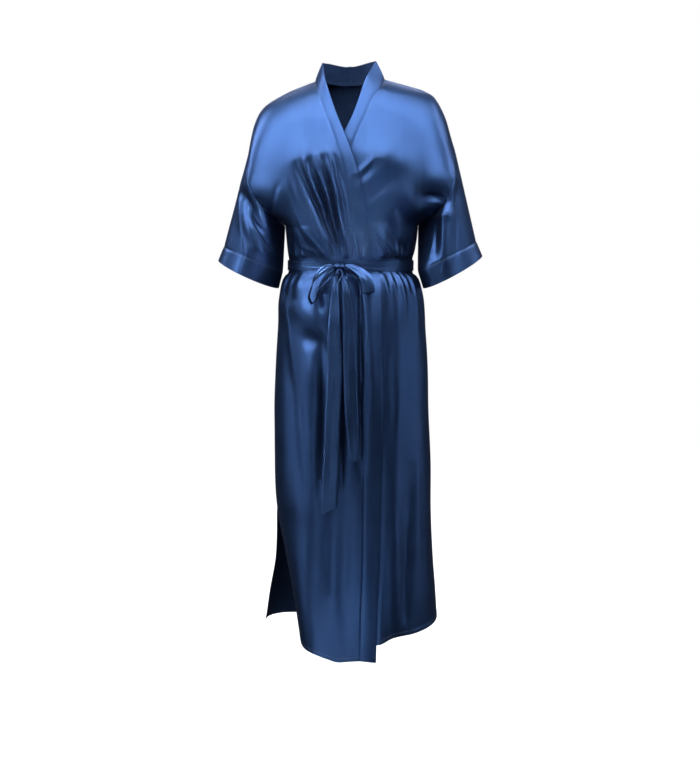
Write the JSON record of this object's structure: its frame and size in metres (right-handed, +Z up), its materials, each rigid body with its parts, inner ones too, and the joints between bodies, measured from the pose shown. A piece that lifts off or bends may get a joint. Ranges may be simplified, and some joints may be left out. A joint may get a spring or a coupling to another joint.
{
  "type": "satin wrap robe",
  "caption": "Long deep blue satin wrap robe, worn closed with a neckband, elbow sleeves with cuff bands and a self belt tied in a bow",
  "frame": {"origin": "middle of the neck opening, level with the points where the shoulders meet the neckband; the robe hangs down from there", "axes": "+Z up along the body, the front of the robe faces -Y, the wearer's left is at +X"},
  "size_m": [0.5721, 0.329, 1.2749],
  "materials": {
    "robe_satin": "glossy woven polyester satin",
    "belt_satin": "glossy woven polyester satin, pressed double"
  },
  "bodies": {
    "root": {"back": "robe_satin", "front_right": "robe_satin", "front_left": "robe_satin", "neckband_right": "robe_satin", "neckband_left": "robe_satin", "sleeve_right": "robe_satin", "sleeve_left": "robe_satin", "cuff_right": "robe_satin", "cuff_left": "robe_satin", "belt_waist": "belt_satin", "belt_knot": "belt_satin", "bow_right": "belt_satin", "bow_left": "belt_satin", "knot_loop": "belt_satin", "tail_long": "belt_satin", "tail_short": "belt_satin"}
  },
  "joints": []
}
